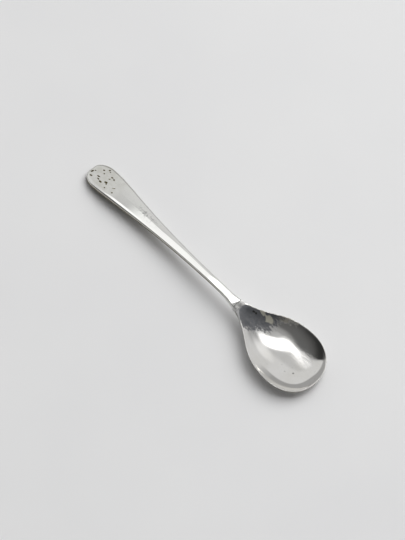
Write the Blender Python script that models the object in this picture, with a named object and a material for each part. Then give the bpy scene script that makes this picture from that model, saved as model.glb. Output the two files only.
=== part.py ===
# Mustard spoon: a raised bowl lying on the tongue of a forged handle, held there by hard solder.
# The spoon rests on a table at z = 0, with its handle tip at -X and its bowl tip at +X.

from math import cos, pi, radians, sin

import bmesh
import bpy
import numpy as np
from mathutils import Vector

# Driving dimensions, in millimetres

SPOON_LENGTH = 80.0
HANDLE_END_WIDTH = 7.4
HANDLE_END_REACH = 4.2      # from the tip to the widest place of the handle
HANDLE_TIP_FLAT = 1.6       # straight stretch across the very tip
HANDLE_THICKNESS = 1.6
STEM_WIDTH = 2.1
STEM_THICKNESS = 1.7
TURN_DOWN = 1.07            # how far the tip lies below the line of the stem
TURN_DOWN_LENGTH = 11.0     # stretch of the handle end that bends down to the table
NECK_STEP = 0.55            # how far the stem's top stands above the bowl's heel
NECK_DIP_LENGTH = 9.0       # stretch of the stem that bends down to the bowl
NECK_DIP = 0.6
WAIST_TO_HEEL = 6.2         # from the narrowest place of the stem to the bowl's edge

BOWL_LENGTH = 26.3          # from its heel edge to its tip
BOWL_WIDTH = 17.2
BOWL_WIDEST_TO_TIP = 8.9
BOWL_DEEPEST_TO_TIP = 8.0
BOWL_WALL = 0.7             # at the deepest place
RIM_HEIGHT = 3.5            # above the table, where the rim lies level
RIM_LEVEL_TO_TIP = 11.0
RIM_HEEL_LIFT = 0.7
RIM_TIP_DROP = 0.8
RIM_LAND = 0.35             # width of the rim's flat top
RIM_EDGE = 0.6              # height of the rim's outer edge
HEEL_EDGE = 0.9             # height of the edge that meets the solder
HEEL_BLEND = 4.0            # stretch in which the heel edge thins to the rim edge

TONGUE_LENGTH = 6.0         # from the stem's shoulder to the end of the tongue
TONGUE_THICKNESS = 0.4
TONGUE_ROUNDING = 0.9       # 1 would bring the tongue to a point
JOINT_GAP = 0.42            # upright gap between handle and bowl, filled with solder
SEAM_LENGTH = 1.1           # solder that shows between the shoulder and the bowl's heel
SEAM_RECESS = 0.1           # depth of the solder below the stem's top
SOLDER_CLEARANCE = 0.09     # between the solder and the two pieces it joins
SOLDER_SPREAD = 0.95        # share of the joint's width that the solder fills
SOLDER_SHORT = 0.5          # how far the solder stays back from the end of the tongue
BOWL_WEAR = 0.07            # depth worn flat under the bowl
TIP_WEAR = 0.2              # depth worn flat under the handle tip

# Fullness of the outline's curves: how far each end's tangent reaches, as a share of its stretch

TIP_PULL = 0.63
END_PULL = 0.49
TAPER_PULL = 0.18
WAIST_PULL = 0.63
FLARE_PULL = 0.56
SHOULDER_PULL = 0.48
NOSE_PULL = 0.48
ROUND_PULL = 0.71

# Fullness of the bowl's sections: 2 is a parabola, larger numbers up to 4 have steeper edges, smaller ones gentler

HEEL_FULLNESS = 0.95
WIDTH_FULLNESS = 2.45

# Section shapes: 2 is an ellipse, and larger numbers are flatter on top or on the sides

EDGE_SQUARENESS = 2.5
END_SQUARENESS = 6.0
STEM_SQUARENESS = 2.6
TONGUE_SQUARENESS = 4.0

# Mesh steps

CURVE_STEPS = 200
SECTION_POINTS = 32
TIP_STEPS = 9
STEM_STEPS = 15
NECK_STEPS = 6
TONGUE_STEPS = 10
HEEL_STEPS = 4
FLANK_STEPS = 14
NOSE_STEPS = 10
BOWL_RINGS = 14
SEAM_STEPS = 3
FILM_STEPS = 10
FILM_SLICES = 11
CUTTER_STEPS = 40
CUTTER_SLICES = 66
SHARP_ANGLE = radians(35)

# Places along the spoon, measured from the handle tip

HEEL = SPOON_LENGTH - BOWL_LENGTH
SHOULDER = HEEL - SEAM_LENGTH
WAIST = HEEL - WAIST_TO_HEEL
WIDEST = SPOON_LENGTH - BOWL_WIDEST_TO_TIP
DEEPEST = SPOON_LENGTH - BOWL_DEEPEST_TO_TIP
RIM_LEVEL = SPOON_LENGTH - RIM_LEVEL_TO_TIP
TONGUE_END = SHOULDER + TONGUE_LENGTH

# Heights above the table

TIP_HEIGHT = HANDLE_THICKNESS - TIP_WEAR
NECK_HEIGHT = RIM_HEIGHT + RIM_HEEL_LIFT + NECK_STEP
STEM_RISE = (NECK_HEIGHT + NECK_DIP - TURN_DOWN - TIP_HEIGHT) / SHOULDER    # climb per millimetre

MM = 0.001
SMALLEST = 1e-6


def bezier(start, start_pull, end_pull, end, steps):
    """Points of one cubic curve in the plane of station and half width."""
    t = np.linspace(0.0, 1.0, steps + 1)[:, None]
    corners = [np.array(p) for p in (start, start_pull, end_pull, end)]
    weights = ((1 - t) ** 3, 3 * t * (1 - t) ** 2, 3 * t**2 * (1 - t), t**3)
    return sum(weight * corner for weight, corner in zip(weights, corners))


def between(first, last, share):
    return first + (last - first) * share


def handle_outline():
    """Half width of the handle from its tip, past the widest place, to the waist of the stem."""
    half_tip, half_end, half_stem = HANDLE_TIP_FLAT / 2, HANDLE_END_WIDTH / 2, STEM_WIDTH / 2
    tip_pull = (0.0, between(half_tip, half_end, TIP_PULL))
    end_pull = (HANDLE_END_REACH * (1 - END_PULL), half_end)
    end = (HANDLE_END_REACH, half_end)
    taper_pull = (between(HANDLE_END_REACH, WAIST, TAPER_PULL), half_end)
    waist_pull = (between(WAIST, HANDLE_END_REACH, WAIST_PULL), half_stem)
    head = bezier((0.0, half_tip), tip_pull, end_pull, end, CURVE_STEPS)
    taper = bezier(end, taper_pull, waist_pull, (WAIST, half_stem), CURVE_STEPS)
    return np.vstack([head, taper[1:]])


def flare_outline():
    """Half width from the waist of the stem to the widest place of the bowl."""
    half_stem, half_bowl = STEM_WIDTH / 2, BOWL_WIDTH / 2
    flare_pull = (between(WAIST, WIDEST, FLARE_PULL), half_stem)
    shoulder_pull = (between(WIDEST, WAIST, SHOULDER_PULL), half_bowl)
    return bezier((WAIST, half_stem), flare_pull, shoulder_pull, (WIDEST, half_bowl), CURVE_STEPS)


def nose_outline(steps):
    """Half width from the widest place of the bowl round to its tip."""
    half_bowl = BOWL_WIDTH / 2
    nose_pull = (between(WIDEST, SPOON_LENGTH, NOSE_PULL), half_bowl)
    round_pull = (SPOON_LENGTH, half_bowl * ROUND_PULL)
    return bezier((WIDEST, half_bowl), nose_pull, round_pull, (SPOON_LENGTH, 0.0), steps)


SIDE = np.vstack([handle_outline(), flare_outline()[1:]])


def half_width(station):
    """Half width of the plan outline anywhere from the handle tip to the widest place."""
    return float(np.interp(station, SIDE[:, 0], SIDE[:, 1]))


def bowl_outline(nose_steps, flank_steps):
    """Closed plan outline of the bowl, from the middle of its heel edge round by the tip."""
    flank = [(s, half_width(s)) for s in np.linspace(HEEL, WIDEST, flank_steps + 1)]
    nose = [tuple(p) for p in nose_outline(nose_steps)[1:-1]]
    half_heel = half_width(HEEL)
    heel = [(HEEL, half_heel * step / HEEL_STEPS) for step in range(1, HEEL_STEPS)]
    one_side = heel + flank + nose
    other_side = [(s, -w) for s, w in reversed(one_side)]
    return np.array([(HEEL, 0.0)] + one_side + [(SPOON_LENGTH, 0.0)] + other_side)


def inset(outline, distance):
    """The closed outline moved inwards, square to its sides."""
    ahead = np.roll(outline, -1, axis=0) - outline
    ahead /= np.linalg.norm(ahead, axis=1)[:, None]
    behind = np.roll(ahead, 1, axis=0)
    inward_ahead = np.column_stack([ahead[:, 1], -ahead[:, 0]])
    inward_behind = np.column_stack([behind[:, 1], -behind[:, 0]])
    inward = inward_ahead + inward_behind
    return outline + inward * (2 * distance / np.sum(inward**2, axis=1))[:, None]


FINE_OUTLINE = bowl_outline(CURVE_STEPS, CURVE_STEPS)
FINE_WELL = inset(FINE_OUTLINE, RIM_LAND)


def climb(share, fullness):
    """Share of the depth gained at a share of the way from the deepest place to the edge."""
    bulge = fullness / 2 - 1
    return share**2 * (1 - bulge + bulge * share**2)


def hollow(station, side, outline):
    """Share of the full depth at a plan point: 0 on the outline and beyond, 1 at the deepest place."""
    half_side = outline[: len(outline) // 2 + 1]
    to_heel, to_tip = DEEPEST - half_side[0, 0], half_side[-1, 0] - DEEPEST
    tip_fullness = 4 - (4 - HEEL_FULLNESS) * (to_tip / to_heel) ** 2    # one curvature at the deepest place
    if station < DEEPEST:
        along = climb(min(1.0, (DEEPEST - station) / to_heel), HEEL_FULLNESS)
    else:
        along = climb(min(1.0, (station - DEEPEST) / to_tip), tip_fullness)
    half = max(np.interp(station, half_side[:, 0], half_side[:, 1]), SMALLEST)
    across = climb(min(1.0, abs(side) / half), WIDTH_FULLNESS)
    return float((1 - along) * (1 - across))


def rim_height(station):
    """Height of the rim, which rises to the heel and falls to the tip."""
    to_heel = max(0.0, (RIM_LEVEL - station) / (RIM_LEVEL - HEEL))
    to_tip = max(0.0, (station - RIM_LEVEL) / (SPOON_LENGTH - RIM_LEVEL))
    return RIM_HEIGHT + RIM_HEEL_LIFT * to_heel**2 - RIM_TIP_DROP * to_tip**2


def outer_height(station, side):
    """Height of the bowl's outer face over a plan point, held level before its heel."""
    station = max(station, HEEL)
    near_heel = max(0.0, 1 - (station - HEEL) / HEEL_BLEND)
    edge = rim_height(station) - between(RIM_EDGE, HEEL_EDGE, near_heel**2)
    return between(edge, -BOWL_WEAR, hollow(station, side, FINE_OUTLINE))


def inner_height(station, side):
    """Height of the bowl's inner face over a plan point."""
    return between(rim_height(station), BOWL_WALL, hollow(station, side, FINE_WELL))


def stem_top(station):
    """Height of the handle's top along its middle."""
    dip_start = SHOULDER - NECK_DIP_LENGTH
    to_neck = max(0.0, station - dip_start) / NECK_DIP_LENGTH
    to_tip = max(0.0, TURN_DOWN_LENGTH - station) / TURN_DOWN_LENGTH
    straight = TIP_HEIGHT + TURN_DOWN + STEM_RISE * station
    return straight - NECK_DIP * to_neck**2 - TURN_DOWN * to_tip**2


def stem_bottom(station):
    """Height of the handle's underside, which from the waist eases down to the bowl's back."""
    to_waist = min(1.0, station / WAIST)
    forged = stem_top(station) - between(HANDLE_THICKNESS, STEM_THICKNESS, to_waist)
    lapped = outer_height(station, 0.0) - JOINT_GAP - TONGUE_THICKNESS
    to_shoulder = min(1.0, max(0.0, station - WAIST) / (SHOULDER - WAIST))
    return between(forged, min(forged, lapped), to_shoulder**2 * (3 - 2 * to_shoulder))


def tongue_half_width(station):
    """Half width of the handle, rounded off along the tongue."""
    along = max(0.0, station - SHOULDER) / TONGUE_LENGTH
    return half_width(min(station, SHOULDER)) * (1 - TONGUE_ROUNDING * along**3) ** 0.5


def squareness(station):
    if station > SHOULDER:
        return TONGUE_SQUARENESS
    return between(END_SQUARENESS, STEM_SQUARENESS, min(1.0, station / WAIST))


def handle_section(station):
    """Rounded section of the handle as points of side and height."""
    top, bottom = stem_top(station), stem_bottom(station)
    if station > SHOULDER:
        top = max(top, outer_height(station, tongue_half_width(station)) + JOINT_GAP)
    middle, half_height, half = (top + bottom) / 2, (top - bottom) / 2, tongue_half_width(station)
    points = []
    for step in range(SECTION_POINTS):
        angle = 2 * pi * step / SECTION_POINTS
        across, up = cos(angle), sin(angle)
        side = half * np.sign(across) * abs(across) ** (2 / squareness(station))
        height = middle + half_height * np.sign(up) * abs(up) ** (2 / EDGE_SQUARENESS)
        points.append((float(side), float(height)))
    return points


def crown_height(station, across):
    """Height of the stem's rounded top at a share of its half width."""
    top, bottom = stem_top(station), stem_bottom(station)
    half_height = (top - bottom) / 2
    fall = 1 - abs(across) ** squareness(station)
    return bottom + half_height + half_height * fall ** (1 / EDGE_SQUARENESS)


def place(station, side, height):
    """A point in metres, with the middle of the spoon's length at x = 0."""
    return Vector((station - SPOON_LENGTH / 2, side, height)) * MM


def loft(mesh, rings):
    """Joins closed rings of vertices with quads."""
    count = len(rings[0])
    for ring, following in zip(rings, rings[1:]):
        for i in range(count):
            j = (i + 1) % count
            mesh.faces.new((ring[i], ring[j], following[j], following[i]))


def add_ring(mesh, points):
    return [mesh.verts.new(place(*point)) for point in points]


def silver(name, colour, roughness):
    material = bpy.data.materials.new(name)
    material.use_nodes = True
    shader = material.node_tree.nodes["Principled BSDF"]
    shader.inputs["Base Color"].default_value = (*colour, 1.0)
    shader.inputs["Metallic"].default_value = 1.0
    shader.inputs["Roughness"].default_value = roughness
    return material


def finish(name, mesh, origin, material=None):
    """Turns a bmesh into an object whose origin is the given point."""
    bmesh.ops.recalc_face_normals(mesh, faces=mesh.faces)
    bmesh.ops.translate(mesh, verts=mesh.verts, vec=-origin)
    data = bpy.data.meshes.new(name)
    mesh.to_mesh(data)
    mesh.free()
    piece = bpy.data.objects.new(name, data)
    piece.location = origin
    bpy.context.collection.objects.link(piece)
    if material:
        data.materials.append(material)
        data.shade_smooth()
        data.set_sharp_from_angle(angle=SHARP_ANGLE)
    return piece


def hide_cutter(cutter):
    cutter.hide_render = True
    cutter.display_type = "WIRE"


def cut(piece, cutter):
    modifier = piece.modifiers.new(cutter.name, "BOOLEAN")
    modifier.operation = "DIFFERENCE"
    modifier.object = cutter


def make_table():
    """Solid under the table plane, which leaves the worn flats at z = 0."""
    mesh = bmesh.new()
    bmesh.ops.create_cube(mesh, size=1.0)
    bmesh.ops.scale(mesh, vec=Vector((SPOON_LENGTH * 2, BOWL_WIDTH * 2, RIM_HEIGHT)) * MM, verts=mesh.verts)
    bmesh.ops.translate(mesh, vec=Vector((0, 0, -RIM_HEIGHT / 2)) * MM, verts=mesh.verts)
    table = finish("table_plane", mesh, Vector())
    hide_cutter(table)
    return table


def make_bowl():
    """Thin raised shell, with a level land round its rim and a square heel edge."""
    mesh = bmesh.new()
    outline = bowl_outline(NOSE_STEPS, FLANK_STEPS)
    well = inset(outline, RIM_LAND)
    centre = np.array([DEEPEST, 0.0])
    shares = np.linspace(0.0, 1.0, BOWL_RINGS + 1)[1:]
    outer_rings = []
    inner_rings = []
    for share in shares:
        outer = [between(centre, p, share) for p in outline]
        outer_rings.append(add_ring(mesh, [(s, w, outer_height(s, w)) for s, w in outer]))
    for share in shares[::-1]:
        inner = [between(centre, p, share) for p in well]
        inner_rings.append(add_ring(mesh, [(s, w, inner_height(s, w)) for s, w in inner]))
    land = add_ring(mesh, [(s, w, rim_height(s)) for s, w in outline])
    loft(mesh, outer_rings + [land] + inner_rings)
    mesh.faces.new(outer_rings[0])
    mesh.faces.new(inner_rings[-1])
    return finish("bowl", mesh, place(DEEPEST, 0, 0), silver("bowl_silver", (0.80, 0.79, 0.75), 0.16))


def make_lap_cutter():
    """Space over the handle's tongue: the bowl's back, lowered by the joint gap."""
    mesh = bmesh.new()
    reach = BOWL_WIDTH / 2
    stations = np.linspace(SHOULDER, TONGUE_END + SEAM_LENGTH, CUTTER_STEPS)
    sides = np.linspace(-reach, reach, CUTTER_SLICES)
    rings = []
    for station in stations:
        floor = [(station, side, outer_height(station, side) - JOINT_GAP) for side in sides]
        roof = [(station, side, NECK_HEIGHT * 2) for side in sides[::-1]]
        rings.append(add_ring(mesh, floor + roof))
    loft(mesh, rings)
    mesh.faces.new(rings[0])
    mesh.faces.new(rings[-1])
    cutter = finish("lap_space", mesh, Vector())
    hide_cutter(cutter)
    return cutter


def handle_stations():
    """Places of the handle's sections, closest together at the round tip and at the neck."""
    tip = [HANDLE_END_REACH * (1 - cos(pi / 2 * step / TIP_STEPS)) for step in range(TIP_STEPS + 1)]
    stem = list(np.linspace(HANDLE_END_REACH, WAIST, STEM_STEPS + 1)[1:])
    neck = list(np.linspace(WAIST, SHOULDER, NECK_STEPS + 1)[1:])
    turns = [pi / 2 * step / TONGUE_STEPS for step in range(1, TONGUE_STEPS + 1)]
    return tip + stem + neck + [SHOULDER + TONGUE_LENGTH * sin(turn) for turn in turns]


def make_handle(table):
    """Forged handle with a round flat end, a slim stem and a tongue under the bowl's heel."""
    mesh = bmesh.new()
    rings = []
    for station in handle_stations():
        section = handle_section(station)
        rings.append(add_ring(mesh, [(station, side, height) for side, height in section]))
    loft(mesh, rings)
    mesh.faces.new(rings[0])
    mesh.faces.new(rings[-1])
    material = silver("handle_silver", (0.82, 0.80, 0.76), 0.2)
    handle = finish("handle", mesh, place(SHOULDER, 0, 0), material)
    cut(handle, make_lap_cutter())
    cut(handle, table)
    return handle


def solder_profile(across):
    """Closed side profile of the solder, at one share of the half width, as plan points and heights."""
    start, step_down = SHOULDER + SOLDER_CLEARANCE, HEEL - SOLDER_CLEARANCE
    groove = np.linspace(start, step_down, SEAM_STEPS + 1)
    lap = np.linspace(step_down, TONGUE_END - SOLDER_SHORT, FILM_STEPS)
    under = np.concatenate([np.linspace(start, step_down, len(groove) + 1)[:-1], lap])
    points = []
    for station in groove:
        side = across * half_width(station)
        points.append((station, side, crown_height(SHOULDER, across) - SEAM_RECESS))
    for station in lap:
        side = across * tongue_half_width(station)
        points.append((station, side, outer_height(station, side) - SOLDER_CLEARANCE))
    for station in under[::-1]:
        side = across * tongue_half_width(station)
        points.append((station, side, outer_height(station, side) - JOINT_GAP + SOLDER_CLEARANCE))
    return points


def close_side(mesh, ring):
    """Closes a ring whose second half runs back under its first half."""
    last = len(ring) - 1
    for i in range(len(ring) // 2 - 1):
        mesh.faces.new((ring[i], ring[i + 1], ring[last - i - 1], ring[last - i]))


def make_solder_seam():
    """Solder that fills the groove before the bowl's heel and the lap over the tongue."""
    mesh = bmesh.new()
    shares = np.linspace(-SOLDER_SPREAD, SOLDER_SPREAD, FILM_SLICES)
    rings = [add_ring(mesh, solder_profile(share)) for share in shares]
    loft(mesh, rings)
    close_side(mesh, rings[0])
    close_side(mesh, rings[-1])
    return finish("solder_seam", mesh, place(HEEL, 0, 0), silver("solder", (0.55, 0.54, 0.52), 0.45))


def main():
    for old in list(bpy.data.objects):
        bpy.data.objects.remove(old, do_unlink=True)
    spoon = bpy.data.objects.new("spoon", None)
    bpy.context.collection.objects.link(spoon)
    table = make_table()
    bowl = make_bowl()
    cut(bowl, table)
    for piece in (bowl, make_handle(table), make_solder_seam()):
        piece.parent = spoon


main()
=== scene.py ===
from math import cos, pi, radians, sin

import bpy
import numpy as np
from mathutils import Matrix, Vector


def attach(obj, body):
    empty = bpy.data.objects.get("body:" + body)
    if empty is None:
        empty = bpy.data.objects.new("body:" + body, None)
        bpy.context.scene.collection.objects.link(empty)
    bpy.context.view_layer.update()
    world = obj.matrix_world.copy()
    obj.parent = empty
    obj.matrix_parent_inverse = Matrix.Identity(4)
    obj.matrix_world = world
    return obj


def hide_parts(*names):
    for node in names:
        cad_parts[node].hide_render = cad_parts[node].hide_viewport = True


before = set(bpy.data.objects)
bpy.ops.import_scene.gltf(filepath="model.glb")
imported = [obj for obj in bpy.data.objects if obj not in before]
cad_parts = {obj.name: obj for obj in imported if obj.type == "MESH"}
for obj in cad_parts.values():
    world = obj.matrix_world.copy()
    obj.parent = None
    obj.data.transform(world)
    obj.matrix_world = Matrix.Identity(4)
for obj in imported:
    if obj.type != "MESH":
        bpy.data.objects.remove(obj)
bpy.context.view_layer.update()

MM = 0.001
SMALLEST = 1e-6

# Sizes of the spoon in millimetres, measured along it from the handle tip

SPOON_LENGTH = 80.0
HANDLE_END_WIDTH = 7.4
HANDLE_END_REACH = 4.2
HANDLE_TIP_FLAT = 1.6
HANDLE_THICKNESS = 1.6
STEM_WIDTH = 2.1
STEM_THICKNESS = 1.7
TURN_DOWN = 1.07
TURN_DOWN_LENGTH = 11.0
NECK_STEP = 0.55
NECK_DIP_LENGTH = 9.0
NECK_DIP = 0.6
WAIST_TO_HEEL = 6.2

BOWL_LENGTH = 26.3
BOWL_WIDTH = 17.2
BOWL_WIDEST_TO_TIP = 8.9
BOWL_DEEPEST_TO_TIP = 8.0
BOWL_WALL = 0.7
RIM_HEIGHT = 3.5
RIM_LEVEL_TO_TIP = 11.0
RIM_HEEL_LIFT = 0.7
RIM_TIP_DROP = 0.8
RIM_LAND = 0.2
RIM_EDGE = 0.6
HEEL_EDGE = 0.9
HEEL_BLEND = 4.0
BOWL_WEAR = 0.07
TIP_WEAR = 0.2

TONGUE_LENGTH = 6.0
TONGUE_THICKNESS = 0.4
TONGUE_ROUNDING = 0.9
JOINT_GAP = 0.42
SEAM_LENGTH = 1.1
SOLDER_SHORT = 0.5

# Shares that bend the outline's curves, and powers that shape the sections

TIP_PULL = 0.63
END_PULL = 0.49
TAPER_PULL = 0.18
WAIST_PULL = 0.63
FLARE_PULL = 0.56
SHOULDER_PULL = 0.48
NOSE_PULL = 0.48
ROUND_PULL = 0.71
HEEL_FULLNESS = 0.95
WIDTH_FULLNESS = 2.45
FLAT_BOTTOM_FULLNESS = 4.0
EDGE_SQUARENESS = 2.5
END_SQUARENESS = 6.0
STEM_SQUARENESS = 2.6
TONGUE_SQUARENESS = 4.0

HEEL = SPOON_LENGTH - BOWL_LENGTH
SHOULDER = HEEL - SEAM_LENGTH
WAIST = HEEL - WAIST_TO_HEEL
WIDEST = SPOON_LENGTH - BOWL_WIDEST_TO_TIP
DEEPEST = SPOON_LENGTH - BOWL_DEEPEST_TO_TIP
RIM_LEVEL = SPOON_LENGTH - RIM_LEVEL_TO_TIP
TONGUE_END = SHOULDER + TONGUE_LENGTH
TIP_HEIGHT = HANDLE_THICKNESS - TIP_WEAR
NECK_HEIGHT = RIM_HEIGHT + RIM_HEEL_LIFT + NECK_STEP
STEM_RISE = (NECK_HEIGHT + NECK_DIP - TURN_DOWN - TIP_HEIGHT) / SHOULDER

# Camera of the photograph: its height over the table, its tilt from straight down and its roll

PICTURE_HEIGHT = 540.0
FOCAL_PIXELS = 2348.76
SENSOR = 36.0
NEAREST_SEEN = 0.01
CAMERA_HEIGHT = 513.857
CAMERA_TILT = radians(27.4353)
CAMERA_ROLL = radians(-7.9263)

# The spoon's turn and the handle tip's place on the table as the camera sees them: x to the right, y away

SPOON_TURN = radians(-39.6327)
TIP_PLACE = Vector((-31.0071, 290.3178))


def between(first, last, share):
    """The value at a share of the way from first to last."""
    return first + (last - first) * share


def passed(value, first, last):
    """The share of the way from first to last that a value has come: 0 before it and 1 after it."""
    return np.clip((value - first) / (last - first), 0.0, 1.0)


def ease(share):
    """The share again, with a slow start and a slow end."""
    return share**2 * (3 - 2 * share)


def soft_step(value, middle, width):
    """0 well below the middle and 1 well above it."""
    return 1 / (1 + np.exp((middle - value) / width))


def spot(station, side, place, size):
    """Soft round spot: 1 at its middle and 0 well outside it."""
    return np.exp(-(((station - place[0]) / size[0]) ** 2 + ((side - place[1]) / size[1]) ** 2))


def to_row(x, y, z):
    """A direction given as right, away and up for the camera, turned into the spoon's frame."""
    right = Vector((cos(SPOON_TURN), -sin(SPOON_TURN), 0.0))
    away = Vector((sin(SPOON_TURN), cos(SPOON_TURN), 0.0))
    return right * x + away * y + Vector((0.0, 0.0, z))


# Outline and heights, by the same rules as the model

CURVE_STEPS = 400
FINE_HEEL_STEPS = 20
OUTLINE_THINNING = 4
POINTS_AT_ONCE = 500


def bezier(start, start_pull, end_pull, end, steps):
    """Points of a curve that leaves its start and reaches its end along the two pulls."""
    t = np.linspace(0.0, 1.0, steps + 1)[:, None]
    corners = [np.array(p) for p in (start, start_pull, end_pull, end)]
    weights = ((1 - t) ** 3, 3 * t * (1 - t) ** 2, 3 * t**2 * (1 - t), t**3)
    return sum(weight * corner for weight, corner in zip(weights, corners))


def handle_outline():
    """One side of the handle in plan, from the tip to the waist."""
    half_tip, half_end, half_stem = HANDLE_TIP_FLAT / 2, HANDLE_END_WIDTH / 2, STEM_WIDTH / 2
    end = (HANDLE_END_REACH, half_end)
    tip_pull = (0.0, between(half_tip, half_end, TIP_PULL))
    end_pull = (HANDLE_END_REACH * (1 - END_PULL), half_end)
    taper_pull = (between(HANDLE_END_REACH, WAIST, TAPER_PULL), half_end)
    waist_pull = (between(WAIST, HANDLE_END_REACH, WAIST_PULL), half_stem)
    head = bezier((0.0, half_tip), tip_pull, end_pull, end, CURVE_STEPS)
    taper = bezier(end, taper_pull, waist_pull, (WAIST, half_stem), CURVE_STEPS)
    return np.vstack([head, taper[1:]])


def flare_outline():
    """One side in plan from the waist to the bowl's widest place."""
    half_stem, half_bowl = STEM_WIDTH / 2, BOWL_WIDTH / 2
    flare_pull = (between(WAIST, WIDEST, FLARE_PULL), half_stem)
    shoulder_pull = (between(WIDEST, WAIST, SHOULDER_PULL), half_bowl)
    return bezier((WAIST, half_stem), flare_pull, shoulder_pull, (WIDEST, half_bowl), CURVE_STEPS)


def nose_outline():
    """One side in plan from the bowl's widest place to its tip."""
    half_bowl = BOWL_WIDTH / 2
    nose_pull = (between(WIDEST, SPOON_LENGTH, NOSE_PULL), half_bowl)
    round_pull = (SPOON_LENGTH, half_bowl * ROUND_PULL)
    return bezier((WIDEST, half_bowl), nose_pull, round_pull, (SPOON_LENGTH, 0.0), CURVE_STEPS)


SIDE_OUTLINE = np.vstack([handle_outline(), flare_outline()[1:]])


def half_width(station):
    """Half the spoon's width between the handle tip and the bowl's widest place."""
    return np.interp(station, SIDE_OUTLINE[:, 0], SIDE_OUTLINE[:, 1])


def even_steps(line, steps):
    """The line's points spaced evenly along its length."""
    lengths = np.concatenate([[0.0], np.cumsum(np.linalg.norm(np.diff(line, axis=0), axis=1))])
    wanted = np.linspace(0.0, lengths[-1], steps + 1)
    return np.column_stack([np.interp(wanted, lengths, column) for column in line.T])


def bowl_outline(heel_steps, flank_steps, nose_steps):
    """Closed plan outline of the bowl, from the middle of its heel round by the tip."""
    half_heel = half_width(HEEL)
    flank = np.array([(s, half_width(s)) for s in np.linspace(HEEL, WIDEST, 2 * CURVE_STEPS)])
    heel = np.linspace((HEEL, 0.0), (HEEL, half_heel), heel_steps + 1)
    flank = even_steps(flank, flank_steps)
    nose = even_steps(nose_outline(), nose_steps)
    one_side = np.vstack([heel, flank[1:], nose[1:]])
    other_side = one_side[-2:0:-1] * np.array([1.0, -1.0])
    return np.vstack([one_side, other_side])


def inset(outline, distance):
    """The outline moved inwards by a distance."""
    ahead = np.roll(outline, -1, axis=0) - outline
    ahead /= np.linalg.norm(ahead, axis=1)[:, None]
    behind = np.roll(ahead, 1, axis=0)
    inward = np.column_stack([ahead[:, 1] + behind[:, 1], -ahead[:, 0] - behind[:, 0]])
    return outline + inward * (2 * distance / np.sum(inward**2, axis=1))[:, None]


FINE_OUTLINE = bowl_outline(FINE_HEEL_STEPS, CURVE_STEPS, CURVE_STEPS)
FINE_WELL = inset(FINE_OUTLINE, RIM_LAND)


def climb(share, fullness):
    """Share of the depth gained at a share of the way from the deepest place to the edge."""
    bulge = fullness / 2 - 1
    share = np.minimum(share, 1.0)
    return share**2 * (1 - bulge + bulge * share**2)


def hollow(station, side, outline):
    """Share of the full depth: 0 on the outline and beyond, 1 at the deepest place."""
    half_side = outline[: len(outline) // 2 + 1]
    to_heel, to_tip = DEEPEST - half_side[0, 0], half_side[-1, 0] - DEEPEST
    tip_fullness = FLAT_BOTTOM_FULLNESS - (FLAT_BOTTOM_FULLNESS - HEEL_FULLNESS) * (to_tip / to_heel) ** 2
    offset = np.abs(station - DEEPEST)
    # Both climbs leave the deepest place with the same curvature
    heel_climb = climb(offset / to_heel, HEEL_FULLNESS)
    tip_climb = climb(offset / to_tip, tip_fullness)
    along = np.where(station < DEEPEST, heel_climb, tip_climb)
    half = np.maximum(np.interp(station, half_side[:, 0], half_side[:, 1]), SMALLEST)
    return (1 - along) * (1 - climb(np.abs(side) / half, WIDTH_FULLNESS))


def rim_height(station):
    """Height of the bowl's rim."""
    to_heel = np.maximum(0.0, (RIM_LEVEL - station) / (RIM_LEVEL - HEEL))
    to_tip = np.maximum(0.0, (station - RIM_LEVEL) / (SPOON_LENGTH - RIM_LEVEL))
    return RIM_HEIGHT + RIM_HEEL_LIFT * to_heel**2 - RIM_TIP_DROP * to_tip**2


def outer_edge(station):
    """Height of the lower border of the rim's outer edge."""
    near_heel = np.maximum(0.0, 1 - (station - HEEL) / HEEL_BLEND)
    return rim_height(station) - between(RIM_EDGE, HEEL_EDGE, near_heel**2)


def outer_height(station, side):
    """Height of the bowl's outside, before wear flattens it."""
    station = np.maximum(station, HEEL)
    return between(outer_edge(station), -BOWL_WEAR, hollow(station, side, FINE_OUTLINE))


def stem_top(station):
    """Height of the handle's top along its middle."""
    to_neck = max(0.0, station - (SHOULDER - NECK_DIP_LENGTH)) / NECK_DIP_LENGTH
    to_tip = max(0.0, TURN_DOWN_LENGTH - station) / TURN_DOWN_LENGTH
    straight = TIP_HEIGHT + TURN_DOWN + STEM_RISE * station
    return straight - NECK_DIP * to_neck**2 - TURN_DOWN * to_tip**2


def stem_bottom(station):
    """Height of the handle's underside along its middle, blended into the tongue's."""
    forged = stem_top(station) - between(HANDLE_THICKNESS, STEM_THICKNESS, min(1.0, station / WAIST))
    lapped = float(outer_height(station, 0.0)) - JOINT_GAP - TONGUE_THICKNESS
    to_shoulder = min(1.0, max(0.0, station - WAIST) / (SHOULDER - WAIST))
    return between(forged, min(forged, lapped), ease(to_shoulder))


def tongue_half_width(station):
    """Half the width of the handle, and of its tongue past the shoulder."""
    along = max(0.0, station - SHOULDER) / TONGUE_LENGTH
    return half_width(min(station, SHOULDER)) * (1 - TONGUE_ROUNDING * along**3) ** 0.5


def squareness(station):
    """How square the handle's section is, as a power."""
    if station > SHOULDER:
        return TONGUE_SQUARENESS
    return between(END_SQUARENESS, STEM_SQUARENESS, min(1.0, station / WAIST))


def rim_distance(points):
    """Distance of plan points from the bowl's outline."""
    start = FINE_OUTLINE[::OUTLINE_THINNING]
    span = np.roll(start, -1, axis=0) - start
    length = np.sum(span**2, axis=1)
    nearest = np.empty(len(points))
    for first in range(0, len(points), POINTS_AT_ONCE):
        last = first + POINTS_AT_ONCE
        offset = points[first:last][:, None] - start
        share = np.clip(np.sum(offset * span, axis=2) / length, 0.0, 1.0)
        gap = offset - share[..., None] * span
        nearest[first:last] = np.sqrt(np.min(np.sum(gap**2, axis=2), axis=1))
    return nearest


# Meshes


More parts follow.
